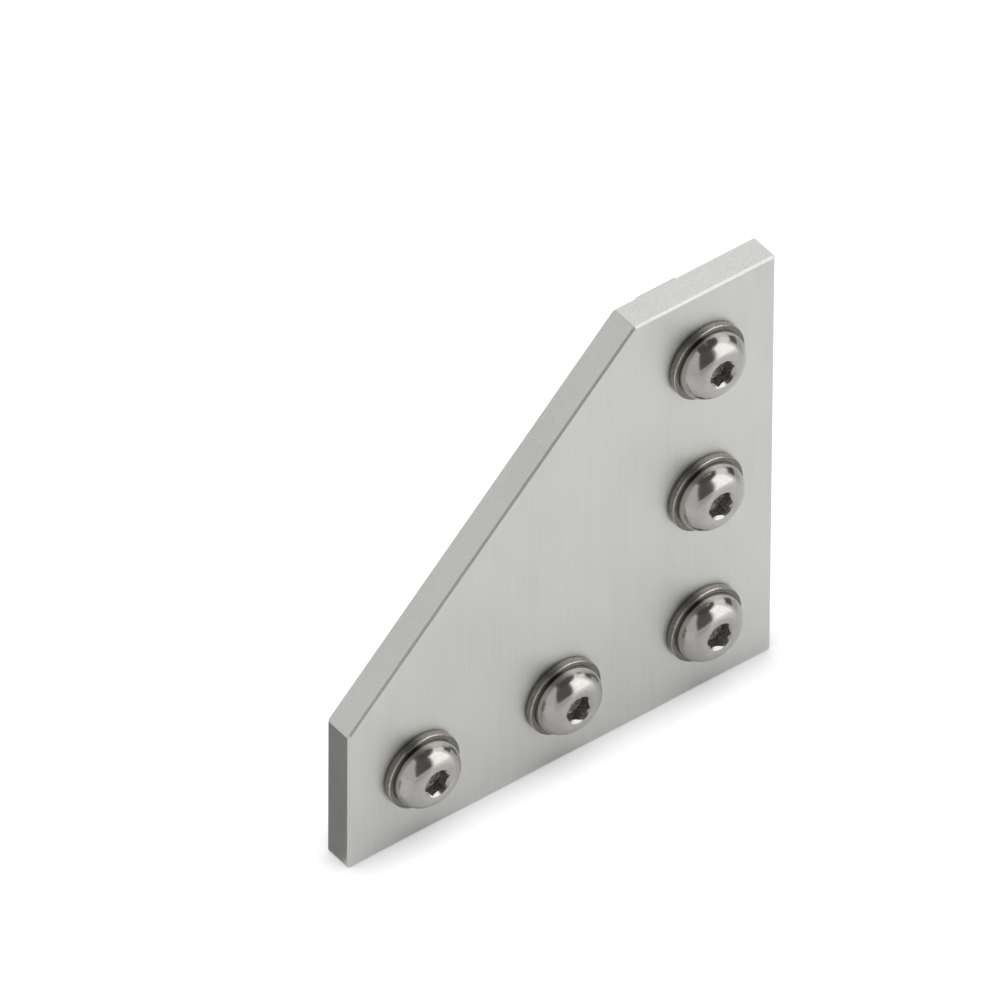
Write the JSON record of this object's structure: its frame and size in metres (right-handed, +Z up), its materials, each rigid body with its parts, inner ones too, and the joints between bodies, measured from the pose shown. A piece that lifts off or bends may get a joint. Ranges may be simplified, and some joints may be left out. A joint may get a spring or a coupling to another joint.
{
  "type": "angle joining plate",
  "caption": "Flat angle joining plate with a sawn diagonal edge, fixed to slotted framing by domed socket screws, washers and slot nuts along its legs.",
  "frame": {"origin": "on the seat face, on the axis of the corner hole, where the centrelines of the base leg and the upright leg cross", "axes": "+X to the right along the base leg (which runs towards -X), +Y out of the seat face into the framing, so the screw heads point along -Y, +Z up along the upright leg"},
  "size_m": [0.12, 0.0255, 0.12],
  "materials": {
    "anodised_plate": "natural anodised, finely brushed, satin",
    "stainless_screw": "bright stainless, tumbled to a polish",
    "stainless_washer": "bright stainless, punched and tumbled",
    "plated_nut": "zinc plated, satin"
  },
  "bodies": {
    "root": {"plate": "anodised_plate", "screw_corner": "stainless_screw", "screw_base_mid": "stainless_screw", "screw_base_end": "stainless_screw", "screw_upright_mid": "stainless_screw", "screw_upright_end": "stainless_screw", "washer_corner": "stainless_washer", "washer_base_mid": "stainless_washer", "washer_base_end": "stainless_washer", "washer_upright_mid": "stainless_washer", "washer_upright_end": "stainless_washer", "slot_nut_corner": "plated_nut", "slot_nut_base_mid": "plated_nut", "slot_nut_base_end": "plated_nut", "slot_nut_upright_mid": "plated_nut", "slot_nut_upright_end": "plated_nut"}
  },
  "joints": []
}
